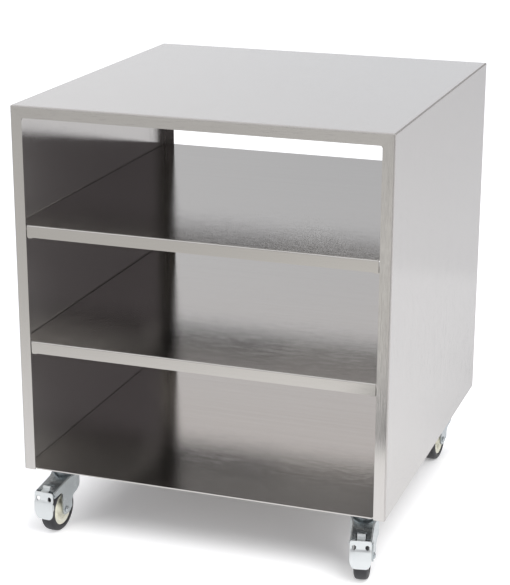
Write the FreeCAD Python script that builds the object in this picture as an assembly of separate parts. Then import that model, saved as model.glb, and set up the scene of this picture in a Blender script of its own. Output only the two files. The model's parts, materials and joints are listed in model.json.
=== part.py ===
import FreeCAD
import Part
import math
import os

from FreeCAD import Vector

# Grill cart: a folded stainless housing that is open at the front and the back, with two
# middle shelves and a floor, on four swivel castors. The two front castors have a foot brake.
# Millimetres. X runs to the right, Y to the back, Z up. The origin is on the ground, at the
# centre of the rectangle that the whole cart covers with its castors as they stand at rest.

# Housing
width = 640.0
depth = 650.0
overall_height = 750.0
sheet = 1.5
bend_outer = 2.5
face_flange = 20.0
face_corner_radius = 4.0
bottom_flange = 14.0
relief_width = 3.0
relief_length = 5.0

# Heights from the ground up: the wheel, what the castor adds to it, the channel
wheel_diameter = 80.0
castor_rise = 25.0
channel_depth = 13.5

# Shelves and floor
floor_sheet = 2.0
shelf_lip = 20.5
upper_shelf_top = 434.5
lower_shelf_top = 233.0
lip_side_gap = 1.5
lip_setback = 1.0
lip_corner_radius = 2.0
shelf_wall_gap = 1.0
flange_gap = 1.0
floor_side_gap = 2.5
floor_bend_gap = 0.3
floor_setback = 0.5

# Rails that carry the shelves
rail_sheet = 2.0
rail_width = 28.0
rail_drop = 15.0
rail_bend = 1.0
rail_end_gap = 1.5

# Hat channels under the floor
channel_sheet = 2.0
channel_web = 46.0
channel_foot = 10.0
channel_bend = 2.0
channel_end_inset = 30.0
stem_hole_clearance = 0.3

# Where the castors stand, from the housing's edges, and how far each is swivelled
castor_side_inset = 49.0
castor_front_inset = 57.0
castor_back_inset = 68.0
swivel_degrees = {"front_left": -4.0, "front_right": 11.0, "back_left": 6.0, "back_right": -3.0}
braked = ("front_left", "front_right")

# Swivel head
stem_diameter = 12.0
stem_fit = 0.05
stem_head_flats = 19.0
stem_head_height = 5.5
stem_end = 1.0
nut_flats = 19.0
nut_height = 9.0
race_diameter = 44.0
race_height = 5.0
race_chamfer = 1.4
race_gap = 0.3
fork_race = 34.0
swivel_head_height = 8.5

# Fork
trail = 32.0
fork_width = 37.0
fork_head_diameter = 48.0
flare_start = 24.0
flare_end = 4.0
fork_sheet = 2.5
fork_bend = 3.0
roof_flat_end = 12.0
roof_fall = 0.17
roof_set_back = 1.5
leg_ahead = 11.5
leg_behind = 16.0
leg_end_radius = 9.0
skirt_depth = 20.0
skirt_back_depth = 13.0
fork_back_opening = 12.0
notch_length = 18.5
notch_width = 16.6
notch_corner_radius = 2.5

# Axle
axle_diameter = 8.0
axle_fit = 0.05
sleeve_diameter = 12.0
bolt_thread = 5.0
bolt_thread_length = 20.0
bolt_head = 11.0
bolt_head_height = 3.4
bolt_head_edge = 1.4
bolt_crown = 5.0
axle_nut_head = 11.0
axle_nut_height = 1.8
axle_nut_tip_gap = 0.5
thread_spare = 2.0

# Wheel
tyre_width = 25.0
tyre_bore = 57.0
tyre_seat_width = 21.0
tread_width = 16.0
tread_round = 1.0
shoulder_drop = 4.2
wall_drop = 8.0
hub_fit = 0.05
hub_side_gap = 0.6
hub_lip = 2.2
hub_web = 7.0
hub_boss = 21.0
hub_boss_taper = 2.0

# Foot brake
pedal_stand_off = 5.0
pedal_width = 35.5
pedal_sheet = 2.0
pedal_rise = 7.2
pedal_bar = 7.5
pedal_web_width = 15.0
pedal_web_height = 8.8
pedal_flap = 33.7
flap_step = 2.0
flap_tuck = 1.5
flap_return = 5.5
pedal_tip_width = 18.5
pedal_corner = 2.2
pedal_stile = 3.4
pivot_set_back = 6.5
pivot_drop = 7.6
pivot_diameter = 3.5
pivot_fit = 0.05
pivot_lug = 3.9
pivot_end = 1.0
pedal_swing = 22.0
swing_margin = 4.0
ear_gap = 0.4
ear_margin = 0.2
shoe_width = 16.0
shoe_height = 12.0
shoe_above_axle = 2.0
shoe_gap = 0.8
spring_width = 11.0
spring_sheet = 1.0
spring_start = 4.0
spring_drop = 4.8
spring_tip_set_back = 12.9
rivet_diameter = 4.4

# Derived from the sizes above
bend_inner = bend_outer - sheet
wheel_radius = wheel_diameter / 2
castor_height = wheel_diameter + castor_rise
ground_gap = castor_height + channel_depth - sheet
housing_height = overall_height - ground_gap
half_width = width / 2
wall_x = half_width - sheet
opening_x = half_width - face_flange
seat_z = sheet - channel_depth
axle_z = wheel_radius - ground_gap
fork_top = seat_z - swivel_head_height
fork_half = fork_width / 2
fork_gap = fork_half - fork_sheet
fork_head = fork_head_diameter / 2
pedal_front = trail + wheel_radius + pedal_stand_off
pivot_forward = pedal_front - pivot_set_back
skirt_front = pivot_forward + pivot_lug
roof_front = pivot_forward - roof_set_back
notch_start = roof_front - notch_length


def roof_z(forward):
    return fork_top - roof_fall * max(0.0, forward - roof_flat_end)


pivot_z = roof_z(pivot_forward) - pivot_drop
pedal_top = pivot_z + pedal_rise
bar_low = pedal_top - pedal_bar
web_low = bar_low - pedal_web_height
pedal_bottom = web_low - pedal_flap


def pedal_reach(name):
    turn = math.radians(abs(swivel_degrees[name]))
    tip = pedal_front + flap_step
    return tip * math.cos(turn) + pedal_width / 2 * math.sin(turn) - castor_front_inset


# The pedals reach out in front of the housing, and the origin allows for it
front_reach = max(pedal_reach(name) for name in braked)
front_y = -(depth - front_reach) / 2
back_y = front_y + depth


def box(x0, x1, y0, y1, z0, z1):
    return Part.makeBox(x1 - x0, y1 - y0, z1 - z0, Vector(x0, y0, z0))


def fuse(shapes):
    whole = shapes[0].fuse(shapes[1:])
    return whole.removeSplitter()


def cut(shape, tools):
    return shape.cut(Part.makeCompound(tools))


def prism(points, direction):
    wire = Part.makePolygon(points + [points[0]])
    return Part.Face(wire).extrude(direction)


def upright(diameter, low, high):
    return Part.makeCylinder(diameter / 2, high - low, Vector(0, 0, low))


def edges_where(shape, test):
    return [e for e in shape.Edges if test(e)]


def runs_along(edge, axis):
    a = edge.Vertexes[0].Point
    b = edge.Vertexes[-1].Point
    d = b.sub(a)
    if d.Length < 1e-6:
        return False
    parts = {"x": d.x, "y": d.y, "z": d.z}
    return abs(abs(parts[axis]) - d.Length) < 1e-6


def at(edge, **where):
    p = edge.CenterOfMass
    values = {"x": p.x, "y": p.y, "z": p.z}
    return all(abs(values[k] - v) < 1e-4 for k, v in where.items())


def rounded_rect(x0, x1, y0, y1, z0, z1, axis, radius):
    block = box(x0, x1, y0, y1, z0, z1)
    return block.makeFillet(radius, edges_where(block, lambda e: runs_along(e, axis)))


def offset_line(points, thickness):
    normals = []
    for (ax, ay), (bx, by) in zip(points, points[1:]):
        length = math.hypot(bx - ax, by - ay)
        normals.append(((by - ay) / length, (ax - bx) / length))
    normals = [normals[0]] + normals + [normals[-1]]
    shifted = []
    for (x, y), (ux, uy), (vx, vy) in zip(points, normals, normals[1:]):
        share = thickness / (1 + ux * vx + uy * vy)
        shifted.append((x + share * (ux + vx), y + share * (uy + vy)))
    return shifted


# The outline of a sheet bent along a line, with its thickness to the line's right.

def bent_sheet(points, thickness):
    return points + list(reversed(offset_line(points, thickness)))


def hexagon(flats, height, base, normal):
    radius = flats / math.sqrt(3)
    corners = []
    for k in range(6):
        a = math.radians(60 * k)
        if abs(normal.z) > 0.5:
            corners.append(base.add(Vector(radius * math.cos(a), radius * math.sin(a), 0)))
        else:
            corners.append(base.add(Vector(0, radius * math.cos(a), radius * math.sin(a))))
    return prism(corners, normal * height)


# Housing: one sheet folded down at both sides, with a flange all round each open face.

def body_shell():
    outer = box(-half_width, half_width, front_y, back_y, 0, housing_height)
    outer = outer.makeFillet(bend_outer, edges_where(outer, is_outer_bend))
    inner = box(-wall_x, wall_x, front_y + sheet, back_y - sheet, sheet, housing_height - sheet)
    inner = inner.makeFillet(bend_inner, inner.Edges)
    shell = outer.cut(inner)
    below = 2 * face_corner_radius
    opening = rounded_rect(-opening_x, opening_x, front_y - 10, back_y + 10, -below,
                           housing_height - face_flange, "y", face_corner_radius)
    foot = half_width - bottom_flange
    bottom = box(-foot, foot, front_y + sheet, back_y - sheet, -sheet, 2 * sheet)
    tools = [opening, bottom]
    near = wall_x - bend_inner - relief_width
    for side in (-1, 1):
        for edge_y, step in ((front_y + sheet, 1), (back_y - sheet, -1)):
            y0, y1 = sorted((edge_y, edge_y + step * relief_length))
            x0, x1 = sorted((side * near, side * (foot - 1)))
            tools.append(box(x0, x1, y0, y1, -sheet, 2 * sheet))
    return cut(shell, tools)


def is_outer_bend(edge):
    along_x = runs_along(edge, "x") and at(edge, z=housing_height)
    along_y = runs_along(edge, "y")
    return along_x or along_y or runs_along(edge, "z")


# Shelf: a sheet with a lip folded down on all four edges, notched round the flanges.

def shelf(top):
    lip_x = opening_x - lip_side_gap
    side_x = wall_x - shelf_wall_gap
    lip_front = front_y + lip_setback
    lip_back = back_y - lip_setback
    side_front = front_y + sheet + flange_gap
    side_back = back_y - sheet - flange_gap
    bottom = top - shelf_lip
    long_block = box(-lip_x, lip_x, lip_front, lip_back, bottom, top)
    edges = edges_where(long_block, lambda e: runs_along(e, "x") and at(e, z=top))
    long_block = long_block.makeFillet(bend_outer, edges)
    ends = edges_where(long_block, lambda e: runs_along(e, "y") and at(e, z=bottom))
    long_block = long_block.makeFillet(lip_corner_radius, ends)
    wide_block = box(-side_x, side_x, side_front, side_back, bottom, top)
    edges = edges_where(wide_block, lambda e: runs_along(e, "y") and at(e, z=top))
    wide_block = wide_block.makeFillet(bend_outer, edges)
    hollow_long = box(-half_width, half_width, lip_front + sheet, lip_back - sheet, 0,
                      top - sheet)
    hollow_wide = box(-side_x + sheet, side_x - sheet, front_y, back_y, 0, top - sheet)
    solid = long_block.fuse([wide_block])
    return solid.cut(hollow_long.common(hollow_wide)).removeSplitter()


def shelf_rail(side, top):
    seat = top - shelf_lip
    y0 = front_y + sheet + rail_end_gap
    y1 = back_y - sheet - rail_end_gap
    line = [(wall_x - rail_width, seat), (wall_x, seat), (wall_x, seat - rail_drop)]
    outline = bent_sheet(line, rail_sheet)
    rail = prism([Vector(side * x, y0, z) for x, z in outline], Vector(0, y1 - y0, 0))
    inside = edges_where(rail, lambda e: runs_along(e, "y") and at(
        e, x=side * (wall_x - rail_sheet), z=seat - rail_sheet))
    return rail.makeFillet(rail_bend, inside)


# Floor: a flat sheet on the side flanges, notched round the upright flanges.

def floor_panel():
    wide_x = wall_x - bend_inner - floor_bend_gap
    narrow_x = opening_x - floor_side_gap
    low, high = sheet, sheet + floor_sheet
    step = sheet + flange_gap
    wide = box(-wide_x, wide_x, front_y + step, back_y - step, low, high)
    narrow = box(-narrow_x, narrow_x, front_y + floor_setback, back_y - floor_setback, low, high)
    return wide.fuse([narrow]).removeSplitter()


def castor_channel(side):
    middle = side * (half_width - castor_side_inset)
    y0 = front_y + channel_end_inset
    y1 = back_y - channel_end_inset
    half = channel_web / 2
    inner = half - channel_sheet
    foot = half + channel_foot
    web_z = seat_z + channel_sheet
    line = [(-foot, sheet), (-inner, sheet), (-inner, web_z), (inner, web_z), (inner, sheet),
            (foot, sheet)]
    outline = bent_sheet(line, channel_sheet)
    hat = prism([Vector(middle + x, y0, z) for x, z in outline], Vector(0, y1 - y0, 0))
    corners = edges_where(hat, lambda e: runs_along(e, "y") and at(e, z=seat_z) and abs(
        abs(e.CenterOfMass.x - middle) - half) < 1e-4)
    hat = hat.makeFillet(channel_bend, corners)
    holes = []
    for name in swivel_degrees:
        spot = castor_spot(name)
        if spot.x * side > 0:
            hole = upright(stem_diameter + 2 * stem_hole_clearance, seat_z - 10, sheet)
            hole.translate(spot)
            holes.append(hole)
    return cut(hat, holes)


def castor_spot(name):
    x = half_width - castor_side_inset
    if "left" in name:
        x = -x
    y = back_y - castor_back_inset
    if "front" in name:
        y = front_y + castor_front_inset
    return Vector(x, y, 0)


# Castor, modelled about its swivel axis: X across the wheel, Y backwards, the wheel
# trailing towards -Y. side_prism takes (forward, up) points and spans from x0 to x1.

def side_prism(points, x0, x1):
    return prism([Vector(x0, -s, z) for s, z in points], Vector(x1 - x0, 0, 0))


def across(diameter, x0, x1, forward, z):
    return Part.makeCylinder(diameter / 2, x1 - x0, Vector(x0, -forward, z), Vector(1, 0, 0))


# Fork: a pressed hood with a round head and two legs with rounded ends. The braked ones have
# a notch in the roof, and lugs for the pedal's pin.

def fork_outline(has_brake):
    skirt_low = fork_top - skirt_depth
    leg_back = trail - leg_behind
    leg_front = trail + leg_ahead
    leg_end = axle_z - leg_end_radius
    lean = math.radians(pedal_swing + swing_margin)
    lug_x = pivot_forward + pivot_lug * math.cos(lean)
    lug_z = pivot_z + pivot_lug * math.sin(lean)
    corner_z = roof_z(lug_x)
    corner_x = lug_x - (corner_z - lug_z) * math.tan(lean)
    lug = [(lug_x, lug_z), (pivot_forward, pivot_z - pivot_lug)]
    if not has_brake:
        lug = [(lug_x - pivot_lug, lug_z)]
    return [(-fork_head, fork_top), (roof_flat_end, fork_top), (corner_x, roof_z(corner_x))
            ] + lug + [
            (leg_front + 4, skirt_low), (leg_front, skirt_low - 4.5), (leg_front, axle_z),
            (leg_front - leg_end_radius, leg_end), (leg_back + leg_end_radius, leg_end),
            (leg_back, axle_z), (leg_back, axle_z + 12), (leg_back - 4, axle_z + 21),
            (-fork_head, fork_top - skirt_back_depth)]


def leg_ends():
    reach = (trail + leg_ahead - leg_end_radius, trail - leg_behind + leg_end_radius)
    return [across(2 * leg_end_radius, -fork_half, fork_half, s, axle_z) for s in reach]


# The fork from above: a round head, flared cheeks, then straight ones to the front.

def fork_plan(inset, front, low, high):
    half = fork_half - inset
    head = fork_head - inset
    right = [(half, front), (half, flare_start), (head, flare_end), (head, 0)]
    left = [(-x, s) for x, s in reversed(right)]
    cheeks = prism([Vector(x, -s, low) for x, s in right + left], Vector(0, 0, high - low))
    return fuse([Part.makeCylinder(head, high - low, Vector(0, 0, low)), cheeks])


def fork(has_brake):
    low = axle_z - leg_end_radius - 5
    blocks = [side_prism(fork_outline(has_brake), -fork_head, fork_head)] + leg_ends()
    if has_brake:
        blocks.append(across(2 * pivot_lug, -fork_half, fork_half, pivot_forward, pivot_z))
    outer = fuse(blocks).common(fork_plan(0, skirt_front + 5, low, 0))
    outer = outer.makeFillet(fork_bend, edges_where(outer, on_roof_rim))
    far = skirt_front + 20
    roof_under = [(-60, fork_top - fork_sheet), (roof_flat_end, fork_top - fork_sheet),
                  (far, roof_z(far) - fork_sheet), (far, low), (-60, low)]
    hollow = side_prism(roof_under, -fork_head, fork_head).common(
        fork_plan(fork_sheet, far, low, 0))
    race = upright(fork_race, fork_top - 1, seat_z - race_height - race_gap)
    tools = [hollow,
             box(-fork_gap, fork_gap, -far, -roof_front, low, 0),
             box(-fork_gap + fork_bend, fork_gap - fork_bend, 0, fork_width, low,
                 fork_top - fork_back_opening),
             upright(stem_diameter + 2 * stem_fit, low, 0),
             across(axle_diameter + 2 * axle_fit, -fork_width, fork_width, trail, axle_z)]
    if has_brake:
        half = notch_width / 2
        tools.append(rounded_rect(-half, half, -far, -notch_start, low, 0, "z",
                                  notch_corner_radius))
        tools.append(across(pivot_diameter + 2 * pivot_fit, -fork_width, fork_width,
                            pivot_forward, pivot_z))
    return cut(fuse([outer, race]), tools)


def on_roof_rim(edge):
    ends = [v.Point for v in edge.Vertexes]
    on_top = all(abs(v.z - roof_z(-v.y)) < 1e-4 for v in ends)
    middle = edge.CenterOfMass
    return on_top and (abs(middle.x) > 1.0 or middle.y > 1.0)


def stem():
    under = fork_top - fork_sheet
    low = under - stem_head_height
    shank = upright(stem_diameter, low, seat_z + channel_sheet + nut_height + stem_end)
    head = hexagon(stem_head_flats, stem_head_height - race_gap, Vector(0, 0, low),
                   Vector(0, 0, 1))
    return fuse([shank, head])


def stem_nut():
    low = seat_z + channel_sheet
    body = hexagon(nut_flats, nut_height, Vector(0, 0, low), Vector(0, 0, 1))
    return body.cut(upright(stem_diameter, low, low + nut_height))


def race_cup():
    low = seat_z - race_height
    outer = upright(race_diameter, low, seat_z)
    outer = outer.makeChamfer(race_chamfer, edges_where(outer, lambda e: at(e, z=low)))
    return outer.cut(upright(stem_diameter, low, seat_z))


# Axle: a barrel nut with a flat round head, through both legs, and a round-headed bolt in it.

def axle_bolt():
    edge = fork_half + bolt_head_edge
    tip = fork_half + bolt_head_height
    end = fork_half - bolt_thread_length
    return revolved([(end, 0), (end, bolt_thread / 2), (fork_half, bolt_thread / 2),
                     (fork_half, bolt_head / 2), (edge, bolt_head / 2), (tip, bolt_crown / 2),
                     (tip, 0)])


def axle_nut():
    barrel_end = fork_half - axle_nut_tip_gap
    bore_end = fork_half - bolt_thread_length - thread_spare
    barrel = revolved([(-fork_half, 0), (-fork_half, axle_diameter / 2),
                       (barrel_end, axle_diameter / 2), (barrel_end, bolt_thread / 2),
                       (bore_end, bolt_thread / 2), (bore_end, 0)])
    return fuse([barrel, across(axle_nut_head, -fork_half - axle_nut_height, -fork_half, trail,
                                axle_z)])


def axle_sleeve():
    tube = across(sleeve_diameter, -fork_gap, fork_gap, trail, axle_z)
    return tube.cut(across(axle_diameter + 2 * axle_fit, -fork_gap, fork_gap, trail, axle_z))


# Turned pieces, from (sideways, outwards) points about the axle. The wheel's are the same on
# both sides, so turned() takes one half of the section.

def revolved(section):
    points = [Vector(x, 0, r) for x, r in section]
    ring = Part.Face(Part.makePolygon(points + [points[0]])).revolve(
        Vector(0, 0, 0), Vector(1, 0, 0), 360)
    ring.translate(Vector(0, -trail, axle_z))
    return ring


def turned(half_section):
    return revolved(half_section + [(-x, r) for x, r in reversed(half_section)])


# Hub: a rim for the tyre, a dished web and a tapered boss that runs on the sleeve.

def hub():
    half = fork_gap - hub_side_gap
    seat = tyre_seat_width / 2
    boss = hub_boss / 2
    return turned([(seat, tyre_bore / 2), (seat, tyre_bore / 2 - hub_lip), (hub_web / 2, boss),
                   (half, boss - hub_boss_taper), (half, sleeve_diameter / 2 + hub_fit)])


# Tyre: a turned section with sloped walls, bevelled shoulders and a flat tread.

def tyre():
    half = tyre_width / 2
    return turned([(tread_width / 2, wheel_radius),
                   (half - tread_round, wheel_radius - shoulder_drop),
                   (half, wheel_radius - wall_drop), (tyre_seat_width / 2, tyre_bore / 2)])


# Foot brake: a pressed plate on a cross pin. A bar at the top carries two ears. Under the bar
# are two windows, with a web between them and a stile at each side, and then the flap.

def pedal_face():
    step_z = web_low + 1
    bend_z = web_low - 3
    line = [(pedal_front, pedal_top), (pedal_front, step_z), (pedal_front + flap_step, bend_z),
            (pedal_front + flap_step, pedal_bottom + 16),
            (pedal_front + flap_step - flap_tuck, pedal_bottom)]
    half = pedal_width / 2
    plate = side_prism(bent_sheet(line, pedal_sheet), -half, half)
    tip = pedal_tip_width / 2
    r = pedal_corner
    right = [(half - r, pedal_top), (half, pedal_top - r), (half, pedal_bottom + 15),
             (half - 1, pedal_bottom + 9), (half - 3, pedal_bottom + 4.2),
             (half - 5.2, pedal_bottom + 1.4), (tip, pedal_bottom)]
    left = [(-x, z) for x, z in reversed(right)]
    return cut(plate.common(pedal_stencil(right + left)), [pedal_window(-1), pedal_window(1)])


def pedal_stencil(points):
    return prism([Vector(x, -pedal_front - 10, z) for x, z in points], Vector(0, 30, 0))


def pedal_window(side):
    inner = pedal_web_width / 2
    outer = pedal_width / 2 - pedal_stile
    r = pedal_corner
    line = [(inner + r, web_low), (outer - r, web_low), (outer, web_low + r),
            (outer, bar_low - r), (outer - r, bar_low), (inner + r, bar_low),
            (inner, bar_low - r), (inner, web_low + r)]
    return pedal_stencil([(side * x, z) for x, z in line])


def pedal_ear(side):
    outer = side * (fork_gap - ear_gap)
    inner = outer - side * pedal_sheet
    x0, x1 = sorted((inner, outer))
    radius = pivot_lug - ear_margin
    front = pedal_front - pedal_sheet / 4
    half_side = radius * math.tan(math.radians(22.5))
    ear = side_prism([(front, pivot_z + radius), (pivot_forward - half_side, pivot_z + radius),
                      (pivot_forward - radius, pivot_z + half_side),
                      (pivot_forward - radius, pivot_z - half_side),
                      (pivot_forward - half_side, pivot_z - radius),
                      (pivot_forward + half_side, pivot_z - radius),
                      (front, bar_low + ear_margin)], x0, x1)
    hole = across(pivot_diameter + 2 * pivot_fit, x0, x1, pivot_forward, pivot_z)
    return ear.cut(hole)


# The flap's sides are turned back a little.

def flap_side(side):
    front = pedal_front + flap_step - pedal_sheet / 4
    back = pedal_front + flap_step - flap_return
    outer = side * pedal_width / 2
    x0, x1 = sorted((outer, outer - side * pedal_sheet))
    return side_prism([(front, web_low - 4), (front, pedal_bottom + 15.5),
                       (back, pedal_bottom + 19), (back, web_low - 6)], x0, x1)


def brake_pedal():
    return fuse([pedal_face(), pedal_ear(-1), pedal_ear(1), flap_side(-1), flap_side(1)])


def pedal_pin():
    half = fork_half + pivot_end
    return across(pivot_diameter, -half, half, pivot_forward, pivot_z)


def brake_shoe():
    half = shoe_width / 2
    low = axle_z + shoe_above_axle
    high = low + shoe_height
    front = pedal_front + flap_step
    block = side_prism([(front, low), (front, high), (trail, high), (trail, low)], -half, half)
    face = across(wheel_diameter + 2 * shoe_gap, -shoe_width, shoe_width, trail, axle_z)
    front_side = box(-shoe_width, shoe_width, -front - 5, -trail, low - 5, high + 5)
    flap = side_prism([(pedal_front + flap_step, web_low - 3),
                       (pedal_front + flap_step, pedal_bottom + 16),
                       (pedal_front + flap_step - flap_tuck, pedal_bottom),
                       (front + 9, pedal_bottom), (front + 9, web_low)], -shoe_width, shoe_width)
    return block.common(front_side).cut(face).cut(flap).cut(pedal_face())


def brake_spring():
    start = roof_flat_end + spring_start
    tip = pivot_forward - spring_tip_set_back
    under = fork_sheet
    line = [(start, roof_z(start) - under), (tip - 12, roof_z(tip - 12) - under),
            (tip - 5, roof_z(tip - 5) - under - spring_drop / 2),
            (tip, roof_z(tip) - under - spring_drop)]
    leaf = side_prism(bent_sheet(line, spring_sheet), -spring_width / 2, spring_width / 2)
    spot = start + 8
    rivet = upright(rivet_diameter, roof_z(spot) - under - 3, roof_z(spot) - under - 0.5)
    rivet.translate(Vector(0, -spot, 0))
    return fuse([leaf, rivet])


# Assembly: each castor's pieces are turned to their swivel angle and moved to their place.

castor_pieces = {"stem": stem, "stem_nut": stem_nut, "race_cup": race_cup,
                 "axle_bolt": axle_bolt, "axle_nut": axle_nut, "axle_sleeve": axle_sleeve,
                 "hub": hub, "tyre": tyre}
brake_pieces = {"brake_pedal": brake_pedal, "pedal_pin": pedal_pin, "brake_shoe": brake_shoe,
                "brake_spring": brake_spring}


def place_castor(shape, name):
    placed = shape.copy()
    placed.rotate(Vector(0, 0, 0), Vector(0, 0, 1), swivel_degrees[name])
    placed.translate(castor_spot(name))
    return placed


def all_parts():
    parts = {"body_shell": body_shell(), "floor_panel": floor_panel()}
    for label, top in (("upper", upper_shelf_top), ("lower", lower_shelf_top)):
        parts[label + "_shelf"] = shelf(top)
        for side_name, side in (("left", -1), ("right", 1)):
            parts[label + "_rail_" + side_name] = shelf_rail(side, top)
    for side_name, side in (("left", -1), ("right", 1)):
        parts["castor_channel_" + side_name] = castor_channel(side)
    plain = {key: make() for key, make in castor_pieces.items()}
    brakes = {key: make() for key, make in brake_pieces.items()}
    for name in swivel_degrees:
        has_brake = name in braked
        parts["fork_" + name] = place_castor(fork(has_brake), name)
        for key, shape in plain.items():
            parts[key + "_" + name] = place_castor(shape, name)
        if has_brake:
            for key, shape in brakes.items():
                parts[key + "_" + name] = place_castor(shape, name)
    return parts


def report_joint(name):
    turn = math.radians(swivel_degrees[name])
    spot = castor_spot(name)
    along_x, along_y = math.sin(turn), -math.cos(turn)
    print(name, "swivel", round(spot.x, 3), round(spot.y, 3))
    print("  axle", round(spot.x + trail * along_x, 3), round(spot.y + trail * along_y, 3),
          round(axle_z + ground_gap, 3), "across", round(math.cos(turn), 6),
          round(math.sin(turn), 6))
    print("  pivot", round(spot.x + pivot_forward * along_x, 3),
          round(spot.y + pivot_forward * along_y, 3), round(ground_gap + pivot_z, 3))


def main():
    os.makedirs("parts", exist_ok=True)
    whole = FreeCAD.BoundBox()
    parts = all_parts()
    for name, shape in parts.items():
        shape.translate(Vector(0, 0, ground_gap))
        solids = shape.Solids
        if not shape.isValid() or len(solids) != 1:
            print("CHECK", name, "valid", shape.isValid(), "solids", len(solids))
        solids[0].exportStep(os.path.join("parts", name + ".step"))
        whole.add(shape.optimalBoundingBox(True, False))
    print("nodes", len(parts))
    print("box", [round(v, 2) for v in (whole.XMin, whole.XMax, whole.YMin, whole.YMax,
                                        whole.ZMin, whole.ZMax)])
    for name in swivel_degrees:
        report_joint(name)


main()
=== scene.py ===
import json
import math

import bpy
import bmesh
from mathutils import Matrix, Vector

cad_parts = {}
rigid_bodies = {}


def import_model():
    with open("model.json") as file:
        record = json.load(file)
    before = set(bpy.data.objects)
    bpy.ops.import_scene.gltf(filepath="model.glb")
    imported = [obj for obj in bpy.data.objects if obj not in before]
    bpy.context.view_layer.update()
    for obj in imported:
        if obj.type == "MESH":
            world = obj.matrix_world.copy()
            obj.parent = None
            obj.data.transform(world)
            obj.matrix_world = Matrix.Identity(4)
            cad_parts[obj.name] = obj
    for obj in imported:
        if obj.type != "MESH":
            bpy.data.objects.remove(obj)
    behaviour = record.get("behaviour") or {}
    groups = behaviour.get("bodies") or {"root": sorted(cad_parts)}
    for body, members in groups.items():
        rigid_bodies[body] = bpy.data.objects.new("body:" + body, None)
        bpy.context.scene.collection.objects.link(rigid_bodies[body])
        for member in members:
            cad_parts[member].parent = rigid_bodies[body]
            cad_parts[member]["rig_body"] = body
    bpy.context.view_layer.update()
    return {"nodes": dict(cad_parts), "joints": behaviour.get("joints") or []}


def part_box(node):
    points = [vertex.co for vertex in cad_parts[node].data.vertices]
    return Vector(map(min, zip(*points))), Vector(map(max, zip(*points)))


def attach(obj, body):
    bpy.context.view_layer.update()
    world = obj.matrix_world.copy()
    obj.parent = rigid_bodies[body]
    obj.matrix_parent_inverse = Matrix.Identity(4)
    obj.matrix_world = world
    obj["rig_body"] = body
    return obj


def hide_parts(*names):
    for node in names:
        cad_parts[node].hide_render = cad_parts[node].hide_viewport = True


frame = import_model()


# Camera. It stands half a metre above the cart's top, ahead of it and to the right, with a
# long lens, where the housing's corners in the photograph place it.
lens_mm = 104.01
sensor_mm = 36.0
camera_place = Vector((0.9386, -2.7097, 1.2867))
camera_azimuth = math.radians(19.317)
camera_elevation = math.radians(17.648)
camera_roll = math.radians(-0.132)


def placed(name, data):
    """A new object in the scene, at the origin."""
    thing = bpy.data.objects.new(name, data)
    bpy.context.scene.collection.objects.link(thing)
    return thing


camera = placed("camera", bpy.data.cameras.new("camera"))
camera.data.lens = lens_mm
camera.data.sensor_width = sensor_mm
camera.location = camera_place
camera.rotation_mode = "QUATERNION"
looking = Vector((-math.sin(camera_azimuth) * math.cos(camera_elevation),
                  math.cos(camera_azimuth) * math.cos(camera_elevation),
                  -math.sin(camera_elevation)))
tilt = Matrix.Rotation(camera_roll, 3, looking).to_quaternion()
camera.rotation_quaternion = tilt @ looking.to_track_quat("-Z", "Y")
bpy.context.scene.camera = camera


# Housing. One 1.5 mm sheet of stainless steel is ground along its length, then folded into the
# left side, the top and the right side. A 20 mm flange frames the open front and back, and its
# mitred top corners are welded and ground flush.
class Value:
    """One output in a finish. Operators on values add Math nodes to it."""

    def __init__(self, finish, socket):
        self.finish = finish
        self.socket = socket

    def __add__(self, other):
        return self.finish.math("ADD", self, other)

    def __sub__(self, other):
        return self.finish.math("SUBTRACT", self, other)

    def __rsub__(self, other):
        return self.finish.math("SUBTRACT", other, self)

    def __mul__(self, other):
        return self.finish.math("MULTIPLY", self, other)

    def __gt__(self, other):
        return self.finish.math("GREATER_THAN", self, other)

    def __lt__(self, other):
        return self.finish.math("LESS_THAN", self, other)

    def __abs__(self):
        return self.finish.math("ABSOLUTE", self, 0.0)

    def spread(self, amount):
        """Noise, whose middle is 0.5, as a change of this amount in all, up and down."""
        return (self - 0.5) * amount

    __radd__ = __add__
    __rmul__ = __mul__


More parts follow.
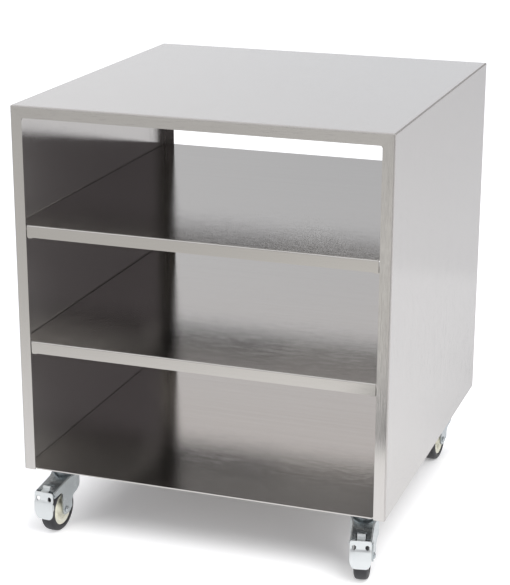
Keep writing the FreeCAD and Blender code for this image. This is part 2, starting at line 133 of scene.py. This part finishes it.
class Finish:
    """The nodes of one finish, or of the studio's light, as they are put together."""

    def __init__(self, owner):
        owner.use_nodes = True
        self.owner = owner
        self.tree = owner.node_tree
        self.tree.nodes.clear()

    def node(self, kind, settings, inputs, output=0):
        made = self.tree.nodes.new("ShaderNode" + kind)
        for setting, choice in settings.items():
            setattr(made, setting, choice)
        for socket, given in inputs.items():
            if isinstance(given, Value):
                self.tree.links.new(given.socket, made.inputs[socket])
            else:
                made.inputs[socket].default_value = given
        return Value(self, made.outputs[output]) if made.outputs else self.owner

    def math(self, operation, first, second):
        return self.node("Math", {"operation": operation}, {0: first, 1: second})

    def place(self):
        return self.node("TexCoord", {}, {}, "Object")

    def axes(self, place):
        return [self.node("SeparateXYZ", {}, {0: place}, axis) for axis in "XYZ"]

    def noise(self, drawn, size, detail=2.0):
        """Noise with its features drawn out along the axes whose scale is small."""
        long = self.node("Mapping", {}, {"Vector": self.place(), "Scale": drawn})
        return self.node("TexNoise", {}, {"Vector": long, "Scale": size, "Detail": detail})

    def cloud(self, size, detail=2.0):
        """Noise of the same size all ways."""
        return self.noise((1.0, 1.0, 1.0), size, detail)

    def rise(self, value, low, high):
        return self.node("MapRange", {"interpolation_type": "SMOOTHSTEP"},
                         {0: value, 1: low, 2: high, 3: 0.0, 4: 1.0})

    def fall(self, value, low, high):
        return 1.0 - self.rise(value, low, high)

    def blend(self, share, first, second):
        """The first colour turning into the second as the share goes from 0 to 1."""
        first, second = [end if isinstance(end, Value) else (*end, 1.0)
                         for end in (first, second)]
        return self.node("Mix", {"data_type": "RGBA"}, {0: share, 6: first, 7: second}, 2)

    def shaded(self, shade, colour):
        """The colour, darker where the shade is under 1."""
        return self.blend(shade, (0.0, 0.0, 0.0), colour)

    def bump(self, height, distance):
        return self.node("Bump", {}, {"Height": height, "Distance": distance})

    def surface(self, inputs):
        shader = self.node("BsdfPrincipled", {}, inputs)
        return self.node("OutputMaterial", {}, {"Surface": shader})


bare_steel = (0.645, 0.624, 0.602)

# Streaks about 6 mm wide and scratches about 0.5 mm wide, some 80 times as long.
streak_scale, scratch_scale = 170.0, 2100.0
along_grain = 0.012


def belt_grain(finish, drawn):
    """The coarse streaks and the fine scratches of a grinding belt."""
    return [finish.noise(drawn, size) for size in (streak_scale, scratch_scale)]


def ground_steel(streaks, scratches, bare, edge_shade, depth, weld=0.0, fold=0.0):
    """Stainless steel ground with a belt, its grain depth metres deep. Bare is the share of it
    that no dull film covers, and edge_shade the shine left where it is seen at a low angle. A
    weld is a little darker, and a fold much duller."""
    finish = scratches.finish
    cloud = finish.cloud(3.5)
    shade = (0.97 + streaks.spread(0.07) + scratches.spread(0.06) + cloud.spread(0.03)
             - weld * 0.05)
    rough = 0.10 + streaks.spread(0.05) + cloud.spread(0.04) + weld * 0.05 + fold * 0.45
    grain = scratches * 0.85 + streaks * 0.15
    return finish.surface({"Base Color": finish.shaded(shade, bare_steel),
                           "Metallic": bare, "Roughness": rough,
                           "Specular Tint": (edge_shade, edge_shade, edge_shade, 1.0),
                           "Normal": finish.bump(grain, depth)})


def housing_steel():
    """Grain across the top and up the sides, meeting at the mitres of the flanges."""
    flange_depth, fold_reach, weld_half_width, weld_start = 0.002, 0.0024, 0.0003, 0.003
    finish = Finish(bpy.data.materials.new("housing_steel"))
    x, y, z = finish.axes(finish.place())
    low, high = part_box("body_shell")
    from_side = high.x - abs(x)
    from_top = high.z - z
    from_face = (high.y - low.y) / 2 - abs(y - (low.y + high.y) / 2)
    on_top = from_side > from_top
    up_sides = belt_grain(finish, (1.0, 1.0, along_grain))
    over_top = belt_grain(finish, (along_grain, 1.0, 1.0))
    streaks, scratches = [up + (over - up) * on_top for up, over in zip(up_sides, over_top)]
    on_mitre = abs(from_side - from_top) < weld_half_width
    weld = on_mitre * (from_face < flange_depth) * (from_side > weld_start)
    fold = ((from_side < fold_reach) + (from_top < fold_reach)
            + (from_face < fold_reach)) > 1.5
    return ground_steel(streaks, scratches, bare=0.88, edge_shade=0.8, depth=0.00011,
                        weld=weld, fold=fold)


def shown(form, name, finish, node, sharp_above=40.0, instead=True):
    """The formed piece on the node's body, in its finish, and as a rule instead of the node.
    Its edges stay sharp where they turn by more degrees than sharp_above."""
    mesh = bpy.data.meshes.new(name)
    form.to_mesh(mesh)
    form.free()
    for layer in ("custom_normal", "sharp_edge", "sharp_face"):
        if layer in mesh.attributes:
            mesh.attributes.remove(mesh.attributes[layer])
    mesh.shade_smooth()
    mesh.set_sharp_from_angle(angle=math.radians(sharp_above))
    mesh.materials.append(finish)
    piece = placed(name, mesh)
    flat = piece.modifiers.new("flat_faces", "WEIGHTED_NORMAL")
    flat.keep_sharp = True
    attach(piece, frame["nodes"][node]["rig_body"])
    if instead:
        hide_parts(node)


merge_gap = 0.000001


def finished(node, name, finish):
    """The node's piece with its facets joined, so that each fold and round is smooth."""
    form = bmesh.new()
    form.from_mesh(frame["nodes"][node].data)
    bmesh.ops.remove_doubles(form, verts=form.verts, dist=merge_gap)
    shown(form, name, finish, node)


finished("body_shell", "housing", housing_steel())


# Shelves. Each is a 1.5 mm stainless sheet, ground from side to side, with a lip folded down at
# its front and back. It lies on two rails.
def sheet_steel(name, drawn):
    """Stainless sheet ground one way."""
    streaks, scratches = belt_grain(Finish(bpy.data.materials.new(name)), drawn)
    return ground_steel(streaks, scratches, bare=1.0, edge_shade=0.55, depth=0.00005)


across_steel = sheet_steel("shelf_steel", (along_grain, 1.0, 1.0))
for height in ("upper", "lower"):
    finished(height + "_shelf", height + "_shelf_sheet", across_steel)


# Rails. Four angles folded from 2 mm stainless sheet, ground along their length. They are
# spot-welded to the housing's sides, one under each end of each shelf.
along_steel = sheet_steel("rail_steel", (1.0, along_grain, 1.0))
for height in ("upper", "lower"):
    for side in ("left", "right"):
        finished(height + "_rail_" + side, height + "_rail_angle_" + side, along_steel)


# Floor. A flat 2 mm stainless sheet is welded on the turned-in feet of the sides. Two folded
# channels under it, from front to back, stiffen it and take the castors' studs.
floor_sheet = frame["nodes"]["floor_panel"].data
floor_sheet.materials.clear()
floor_sheet.materials.append(across_steel)
for side in ("left", "right"):
    finished("castor_channel_" + side, "castor_channel_sheet_" + side, along_steel)


# Swivel heads. An M12 stud with a hexagonal head holds each castor in its channel by a nut, and
# clamps the fixed cup of the ball race under it. All are zinc-plated steel.
def plated(name, colour, rough, mottle=0.2):
    """Bright plating on steel: clouded a little by the sheet under it, and faintly grained."""
    finish = Finish(bpy.data.materials.new(name))
    cloud = finish.cloud(90.0, 3.0)
    speck = finish.cloud(900.0)
    shade = 1.0 - mottle / 2 + cloud.spread(mottle) + speck.spread(mottle / 2)
    return finish.surface({"Base Color": finish.shaded(shade, colour),
                           "Metallic": 0.9,
                           "Roughness": rough + cloud.spread(0.16) + speck.spread(0.08),
                           "Normal": finish.bump(speck, 0.000008)})


corners = ("front_left", "front_right", "back_left", "back_right")
zinc = plated("zinc", (0.57, 0.61, 0.625), rough=0.25)
for corner in corners:
    finished("stem_" + corner, "stud_" + corner, zinc)
    finished("stem_nut_" + corner, "stud_nut_" + corner, zinc)
    finished("race_cup_" + corner, "race_" + corner, zinc)


# Forks. Each is pressed from 2.5 mm steel and zinc-plated: a flared round head with the moving
# half of the ball race, a sloping roof, and two legs that hold the axle. The braked ones have a
# notch at the front of the roof for the pedal's strap, and lugs for its pin.
for corner in corners:
    finished("fork_" + corner, "castor_fork_" + corner, zinc)


# Axles. A round-headed bolt goes through both legs and the sleeve that the wheel turns on, into
# a barrel nut with a low flat head. Zinc-plated steel.
for corner in corners:
    finished("axle_bolt_" + corner, "axle_" + corner, zinc)
    finished("axle_nut_" + corner, "barrel_nut_" + corner, zinc)
    finished("axle_sleeve_" + corner, "sleeve_" + corner, zinc)


# Tyres. Solid black rubber moulded round each hub, 80 mm across and 25 mm wide, with a slightly
# crowned tread, round shoulders, a moulding line round the middle and a thin bead at the hub.
joints = {joint["name"]: joint for joint in frame["joints"]}


def hung(form, joint):
    """Moves a form made round the origin to a castor's joint: its X to the joint's axis, and
    its Y to the back of the castor."""
    across = Vector(joints[joint]["axis"])
    upward = Vector((0.0, 0.0, 1.0))
    turn = Matrix((across, upward.cross(across), upward)).transposed().to_4x4()
    place = Matrix.Translation(Vector(joints[joint]["pos_m"])) @ turn
    bmesh.ops.transform(form, matrix=place, verts=form.verts)
    return form


wheel_steps = 96
moulded_sharp_above = 50.0


def spun(half_section):
    """A ring round the X axis, from the points of its half section in mm (along, radius)."""
    form = bmesh.new()
    points = half_section + [(-along, radius) for along, radius in half_section[::-1]
                             if along > 0.0]
    verts = [form.verts.new((along / 1000, 0.0, radius / 1000)) for along, radius in points]
    for first, second in zip(verts, verts[1:] + verts[:1]):
        form.edges.new((first, second))
    bmesh.ops.spin(form, geom=form.verts[:] + form.edges[:], cent=(0.0, 0.0, 0.0),
                   axis=(1.0, 0.0, 0.0), angle=math.tau, steps=wheel_steps, use_merge=True)
    bmesh.ops.remove_doubles(form, verts=form.verts, dist=merge_gap)
    bmesh.ops.recalc_face_normals(form, faces=form.faces)
    return form


def tyre_rubber():
    finish = Finish(bpy.data.materials.new("tyre_rubber"))
    cloud = finish.cloud(60.0, 3.0)
    pores = finish.cloud(1500.0)
    black, dusty = (0.023, 0.023, 0.026), (0.037, 0.036, 0.038)
    colour = finish.blend(finish.rise(cloud, 0.35, 0.75), black, dusty)
    return finish.surface({"Base Color": colour, "Roughness": 0.52 + cloud.spread(0.3),
                           "Normal": finish.bump(pores, 0.00003)})


rubber = tyre_rubber()
tyre_section = [(0.0, 40.0), (0.2, 40.0), (0.35, 39.86), (4.0, 39.8), (7.4, 39.5),
                (9.0, 38.85), (10.4, 37.6), (11.5, 35.9), (12.2, 34.0), (12.5, 32.4),
                (12.5, 31.0), (12.1, 30.3), (12.1, 29.7), (11.6, 28.9), (10.5, 28.5),
                (0.0, 28.5)]
for corner in corners:
    shown(hung(spun(tyre_section), "wheel_spin_" + corner), "wheel_tyre_" + corner, rubber,
          "tyre_" + corner, moulded_sharp_above)


# Hubs. Each is moulded in cream plastic in one piece: a rim that the tyre grips, a dished web
# with eight shallow pockets on each side, and a boss bored for the axle's sleeve.
def hub_plastic():
    finish = Finish(bpy.data.materials.new("hub_plastic"))
    cloud = finish.cloud(70.0, 3.0)
    deep_cream, pale_cream = (0.80, 0.78, 0.65), (0.86, 0.85, 0.74)
    colour = finish.blend(finish.rise(cloud, 0.3, 0.7), deep_cream, pale_cream)
    return finish.surface({"Base Color": colour, "Roughness": 0.36 + cloud.spread(0.2),
                           "Normal": finish.bump(cloud, 0.0001)})


hub_section = [(0.0, 6.05), (14.6, 6.05), (15.4, 6.8), (15.4, 7.8), (14.6, 8.6), (6.0, 10.4),
               (4.3, 11.2), (4.0, 12.4), (5.6, 17.5), (7.3, 22.4), (8.1, 24.2), (9.6, 25.4),
               (10.2, 26.0), (10.5, 26.6), (10.5, 28.2), (10.2, 28.5), (0.0, 28.5)]


def hub_form():
    """The hub with its pockets sunk into both sides of the web, between radial ribs. Sizes in
    mm, and half of a rib as a share of the turn from one rib to the next."""
    pockets, half_rib = 8, 0.17
    web_inside, web_outside, web_from_middle = 12.4, 22.4, 3.0
    pocket_slope, pocket_depth = 0.9, 1.7
    form = spun(hub_section)
    for side in (-1.0, 1.0):
        floors = []
        for face in form.faces:
            middle = face.calc_center_median() * 1000
            radius = math.hypot(middle.y, middle.z)
            turn = math.atan2(middle.z, middle.y) / math.tau * pockets % 1.0
            if (web_inside < radius < web_outside and middle.x * side > web_from_middle
                    and half_rib < turn < 1.0 - half_rib):
                floors.append(face)
        bmesh.ops.inset_region(form, faces=floors, thickness=pocket_slope / 1000,
                               depth=-pocket_depth / 1000, use_even_offset=True)
    return form


cream = hub_plastic()
for corner in corners:
    shown(hung(hub_form(), "wheel_spin_" + corner), "wheel_hub_" + corner, cream,
          "hub_" + corner, moulded_sharp_above)


# Foot brakes. On both front castors a chromed pedal hangs on a cross pin at the fork's end,
# with a rubber shoe for the tyre and a leaf spring. A folded strap runs back from its top edge
# and hooks through the fork's notch, with a raised tab for the toe that releases the brake.
strap_width, strap_thickness, strap_bend = 13.6, 1.8, 1.25
pedal_top_edge, tab_foot, tab_front, tab_back, hook_end = [Vector(spot) for spot in (
    (5.5, 6.2), (-4.3, 7.9), (-4.8, 13.6), (-7.9, 13.6), (-8.3, 4.6))]


def strap_line():
    """The strap's middle line with rounded bends, in mm (ahead of the pedal's pivot, above)."""
    folds = [pedal_top_edge, tab_foot, tab_front, tab_back, hook_end]
    bend_steps = 4
    line = [folds[0]]
    for before, here, after in zip(folds, folds[1:], folds[2:]):
        coming, going = (here - before).normalized(), (after - here).normalized()
        reach = strap_bend * math.tan(coming.angle(going) / 2)
        for step in range(bend_steps + 1):
            share = step / bend_steps
            line.append((here - coming * reach).lerp(here, share).lerp(
                here.lerp(here + going * reach, share), share))
    return line + [folds[-1]]


def strap_form():
    """The strap's edge outline, on both sides of its middle line, drawn out to its width."""
    line = strap_line()
    ways = [(second - first).normalized() for first, second in zip(line, line[1:])]
    outline = []
    for side in (0.5, -0.5):
        edge = []
        for spot, coming, going in zip(line, ways[:1] + ways, ways + ways[-1:]):
            normal = Vector((-coming.y - going.y, coming.x + going.x)).normalized()
            edge.append(spot + normal * side * strap_thickness)
        outline += edge if side > 0.0 else edge[::-1]
    form = bmesh.new()
    verts = [form.verts.new((-strap_width / 2000, -ahead / 1000, above / 1000))
             for ahead, above in outline]
    cheek = form.faces.new(verts)
    drawn = bmesh.ops.extrude_face_region(form, geom=[cheek], use_keep_orig=True)
    far_side = [part for part in drawn["geom"] if isinstance(part, bmesh.types.BMVert)]
    bmesh.ops.translate(form, vec=(strap_width / 1000, 0.0, 0.0), verts=far_side)
    bmesh.ops.recalc_face_normals(form, faces=form.faces)
    return form


chrome = plated("brake_chrome", (0.81, 0.84, 0.84), rough=0.42, mottle=0.06)
spring_steel = plated("spring_steel", (0.36, 0.36, 0.38), rough=0.3)
for corner in ("front_left", "front_right"):
    finished("brake_pedal_" + corner, "foot_pedal_" + corner, chrome)
    shown(hung(strap_form(), "pedal_lift_" + corner), "pedal_strap_" + corner, chrome,
          "brake_pedal_" + corner, instead=False)
    finished("pedal_pin_" + corner, "cross_pin_" + corner, zinc)
    finished("brake_spring_" + corner, "leaf_spring_" + corner, spring_steel)
    finished("brake_shoe_" + corner, "rubber_shoe_" + corner, rubber)


# Studio. White paper lies under the cart, and two soft lamps, a high one and a low one, stand
# to the right in front of it. The paper also glows as painted light, less within the cart's
# outline, which paints a shadow under the cart, and metal sees zones of it painted darker, as
# painted reflections. The steel mirrors a studio that is white on the left and ahead, grey on
# the right, and dark behind on the right. The lamps themselves don't show in it.
half_floor = 14.0
paper_form = bmesh.new()
bmesh.ops.create_grid(paper_form, x_segments=1, y_segments=1, size=half_floor)
paper_mesh = bpy.data.meshes.new("studio_floor")
paper_form.to_mesh(paper_mesh)
paper_form.free()
studio_floor = placed("studio_floor", paper_mesh)


def ray_kinds(finish):
    """1 on rays from the camera or through something clear, and 1 on rays off metal."""
    camera_ray, glossy, through = [finish.node("LightPath", {}, {}, "Is %s Ray" % kind)
                                   for kind in ("Camera", "Glossy", "Transmission")]
    return camera_ray + through, glossy


def studio_paper():
    """White paper. To the camera, and in metal, it glows as painted light on top of its lamp
    light, so that it turns white outside the cart's outline; within the outline it glows less,
    a painted shadow under the cart. Metal sees some zones of it painted darker, as painted
    reflections, and behind on the left as a painted shadow."""
    finish = Finish(bpy.data.materials.new("studio_paper"))
    x, y, _ = finish.axes(finish.place())
    direct, in_metal = ray_kinds(finish)
    # Painted reflections: zones of the paper that only metal sees darker; the zone behind on
    # the left is a painted shadow.
    ahead = finish.fall(y, -1.7, -0.3)
    far_left = finish.fall(x, -0.7, -0.1)
    painted_shadow_behind_left = (finish.rise(y, 0.2, 0.5) * finish.fall(y, 0.8, 1.4)
                   * finish.fall(x, 0.15, 0.45))
    far_behind = finish.rise(y, 1.35, 1.5)
    behind_right = (finish.rise(x, -0.1, 0.1) * finish.fall(x, 0.26, 0.40)
                    * finish.rise(y, 0.6, 0.8) * finish.fall(y, 1.6, 1.9))
    ahead_right = finish.rise(x, 0.02, 0.15) * finish.fall(y, -0.95, -0.8)
    level = 1.0
    for zone, darker in ((ahead, 0.33), (far_left, 0.06), (painted_shadow_behind_left, 0.6),
                         (far_behind, 0.08), (behind_right, 0.75), (ahead_right, 0.8)):
        level = level * (1.0 - zone * darker)
    level = 1.0 - in_metal * (1.0 - level)
    # A painted warm tint on the paper ahead, seen only in metal, as a painted reflection.
    painted_reflection_tint = finish.blend(ahead * in_metal, (1.0, 1.0, 1.0), (1.0, 0.985, 0.93))
    painted_reflection_tone = finish.shaded(level, painted_reflection_tint)
    # Painted shadow: within the cart's outline the paper glows less, so it is darker under the
    # cart; outside it the glow is painted light that turns the paper white.
    outside_cart = finish.math("MAXIMUM", abs(x) - 0.32, abs(y) - 0.31)
    direct_glow_painted_shadow = 0.035 + finish.rise(outside_cart, -0.12, 0.07) * 0.64
    painted_glow_in_metal = 0.33 + finish.rise(x, 0.2, 0.6) * 0.05
    lift = direct * direct_glow_painted_shadow + in_metal * painted_glow_in_metal
    paper_white = 0.86
    paper = finish.node("VectorMath", {"operation": "SCALE"}, {0: painted_reflection_tone, "Scale": paper_white})
    glow = finish.node("VectorMath", {"operation": "SCALE"}, {0: painted_reflection_tone, "Scale": lift})
    lit = finish.node("BsdfDiffuse", {}, {"Color": paper})
    white = finish.node("Emission", {}, {"Color": glow, "Strength": 1.0})
    shader = finish.node("AddShader", {}, {0: lit, 1: white})
    return finish.node("OutputMaterial", {}, {"Surface": shader})


studio_floor.data.materials.append(studio_paper())


def studio_light():
    """Plain light from all sides, a white background, and the studio that metal mirrors."""
    finish = Finish(bpy.data.worlds.new("studio"))
    x, y, z = finish.axes(finish.node("TexCoord", {}, {}, "Generated"))
    direct, in_metal = ray_kinds(finish)
    back_left = y * 0.643 - x * 0.766  # 1 at 50 degrees to the left of the back
    white_back, bright_back = (1.0, 1.02, 1.06), (1.14, 1.15, 1.18)
    grey_high, dark_back = (0.84, 0.80, 0.79), (0.17, 0.155, 0.168)
    grey_right, white_front = (0.62, 0.61, 0.62), (0.95, 0.96, 0.98)
    ceiling, plain, background = (0.92, 0.92, 0.93), (0.61, 0.615, 0.65), (1.0, 1.0, 1.0)
    backdrop = finish.blend(finish.rise(back_left, 0.78, 0.95), white_back, bright_back)
    backdrop = finish.blend(finish.rise(z, 0.28, 0.40), backdrop, grey_high)
    around = finish.blend(finish.rise(back_left, 0.46, 0.70), dark_back, backdrop)
    around = finish.blend(finish.rise(x, 0.5, 0.78), around, grey_right)
    front = (finish.rise(0.0 - y, 0.15, 0.45) * finish.rise(z, 0.05, 0.2)
             * finish.fall(x, -0.1, 0.15))
    around = finish.blend(front, around, white_front)
    mirrored = finish.blend(finish.rise(z, 0.50, 0.85), around, ceiling)
    level = finish.blend(in_metal, plain, mirrored)
    level = finish.blend(direct, level, background)
    glow = finish.node("Background", {}, {"Color": level, "Strength": 1.0})
    return finish.node("OutputWorld", {}, {"Surface": glow})


bpy.context.scene.world = studio_light()
bpy.context.scene.world.cycles.sampling_method = "NONE"

lamp_target = Vector((0.0, 0.0, 0.2))
for name, place, size, power in (("high_softbox", (1.7, -1.5, 2.4), 1.8, 50.0),
                                 ("low_softbox", (2.6, -1.9, 1.1), 1.4, 14.0)):
    softbox = placed(name, bpy.data.lights.new(name, "AREA"))
    softbox.data.energy = power
    softbox.data.size = size
    softbox.location = place
    softbox.visible_glossy = False
    aim = lamp_target - softbox.location
    softbox.rotation_euler = aim.to_track_quat("-Z", "Y").to_euler()

bpy.context.scene.view_settings.view_transform = "Standard"
